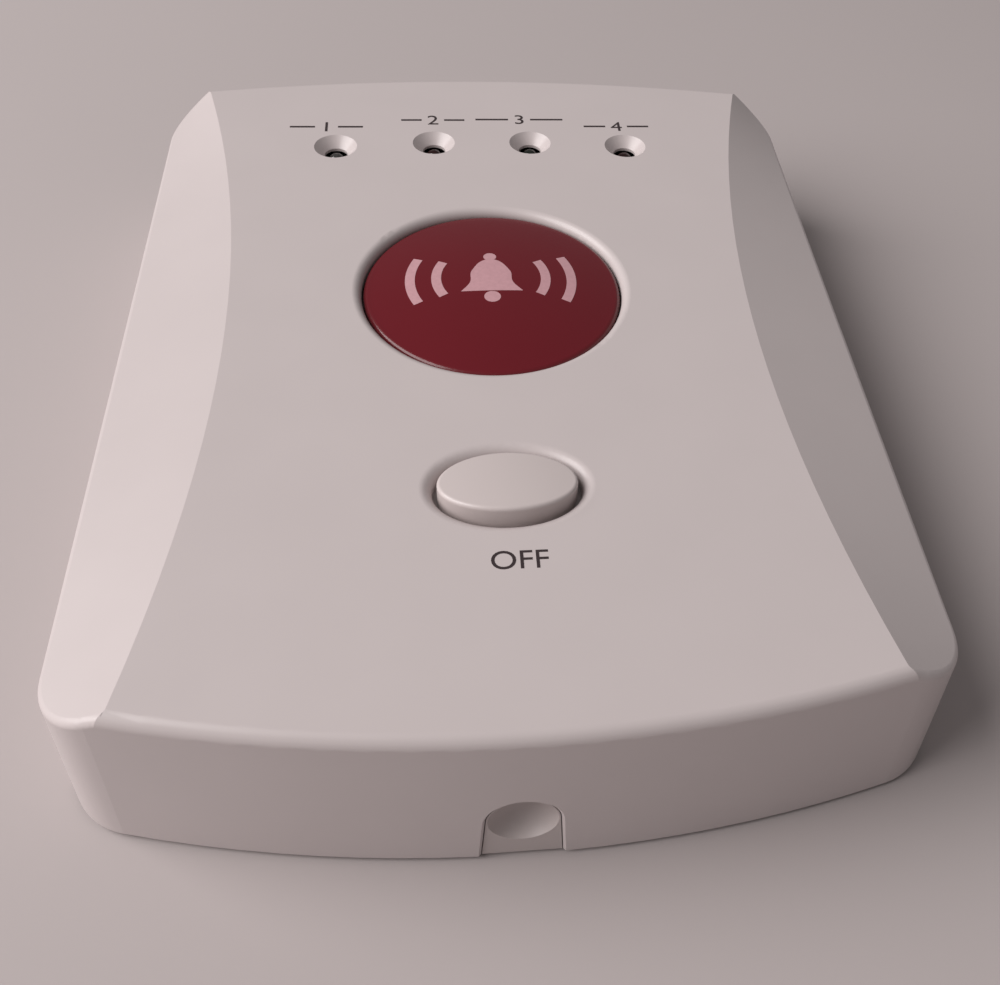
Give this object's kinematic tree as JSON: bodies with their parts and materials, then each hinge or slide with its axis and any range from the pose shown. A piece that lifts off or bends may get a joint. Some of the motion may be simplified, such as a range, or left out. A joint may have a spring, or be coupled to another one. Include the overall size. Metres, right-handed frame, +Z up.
{
  "type": "medical alert base station",
  "caption": "Desk base station with a round emergency call button, an oval reset button and a row of indicator lamps in a waisted, bow-ended case.",
  "frame": {"origin": "centre of the footprint, on the surface the feet stand on", "axes": "+Z up through the panel; +Y to the rear, where the sockets are; -Y is the notched front; +X right seen from the front"},
  "size_m": [0.11, 0.144, 0.0277],
  "materials": {
    "shell_white": "semi-gloss moulded ABS",
    "base_white": "satin moulded ABS",
    "button_red": "gloss moulded cap, crimson",
    "button_white": "semi-gloss moulded cap",
    "foot_rubber": "soft black rubber",
    "screw_steel": "zinc plated",
    "spring_steel": "drawn spring wire",
    "board_green": "solder mask on glass-epoxy",
    "black_plastic": "moulded, fine grain",
    "switch_plunger": "natural nylon",
    "switch_metal": "pressed tin-plated shell",
    "shield_metal": "pressed shield can",
    "lamp_clear": "water-clear epoxy, unlit",
    "card_white": "plain card",
    "speaker_black": "coated basket and magnet",
    "gasket_foam": "closed-cell foam",
    "battery_wrap": "heat-shrunk sleeve",
    "antenna_brass": "tinned brass wire"
  },
  "bodies": {
    "case": {"top_housing": "shell_white", "bottom_housing": "base_white", "rubber_feet": "foot_rubber", "case_screws": "screw_steel", "main_board": "board_green", "board_screws": "screw_steel", "led_status": "lamp_clear", "led_power": "lamp_clear", "led_monitor": "lamp_clear", "led_alarm": "lamp_clear", "sos_spring": "spring_steel", "sos_switch": "black_plastic", "disarm_spring": "spring_steel", "disarm_switch": "black_plastic", "dc_jack": "black_plastic", "power_switch": "switch_metal", "sim_holder": "switch_metal", "sim_card": "card_white", "loudspeaker": "speaker_black", "speaker_gasket": "gasket_foam", "backup_battery": "battery_wrap", "microphone": "switch_metal", "microphone_boot": "foot_rubber", "cellular_module": "shield_metal", "radio_receiver": "board_green", "coil_antenna": "antenna_brass"},
    "sos_button": {"sos_button": "button_red"},
    "sos_plunger": {"sos_plunger": "switch_plunger"},
    "disarm_button": {"disarm_button": "button_white"},
    "disarm_plunger": {"disarm_plunger": "switch_plunger"},
    "power_knob": {"power_knob": "black_plastic"}
  },
  "joints": [
    {"name": "sos_press", "type": "slide", "parent": "case", "child": "sos_button", "axis": [0, 0, -1], "range_m": [0, 0.0015], "stiffness_N_per_m": 900, "springref_m": -0.0015, "deforming": ["sos_spring"]},
    {"name": "sos_switch_press", "type": "slide", "parent": "case", "child": "sos_plunger", "axis": [0, 0, -1], "range_m": [0, 0.00035]},
    {"name": "disarm_press", "type": "slide", "parent": "case", "child": "disarm_button", "axis": [0, 0, -1], "range_m": [0, 0.0012], "stiffness_N_per_m": 500, "springref_m": -0.0012, "deforming": ["disarm_spring"]},
    {"name": "disarm_switch_press", "type": "slide", "parent": "case", "child": "disarm_plunger", "axis": [0, 0, -1], "range_m": [0, 0.00025]},
    {"name": "power_slide", "type": "slide", "parent": "case", "child": "power_knob", "axis": [1, 0, 0], "range_m": [0, 0.0036]}
  ],
  "couplings": [
    {"joint": "sos_switch_press", "follows": "sos_press", "ratio": 0.2333},
    {"joint": "disarm_switch_press", "follows": "disarm_press", "ratio": 0.2083}
  ]
}
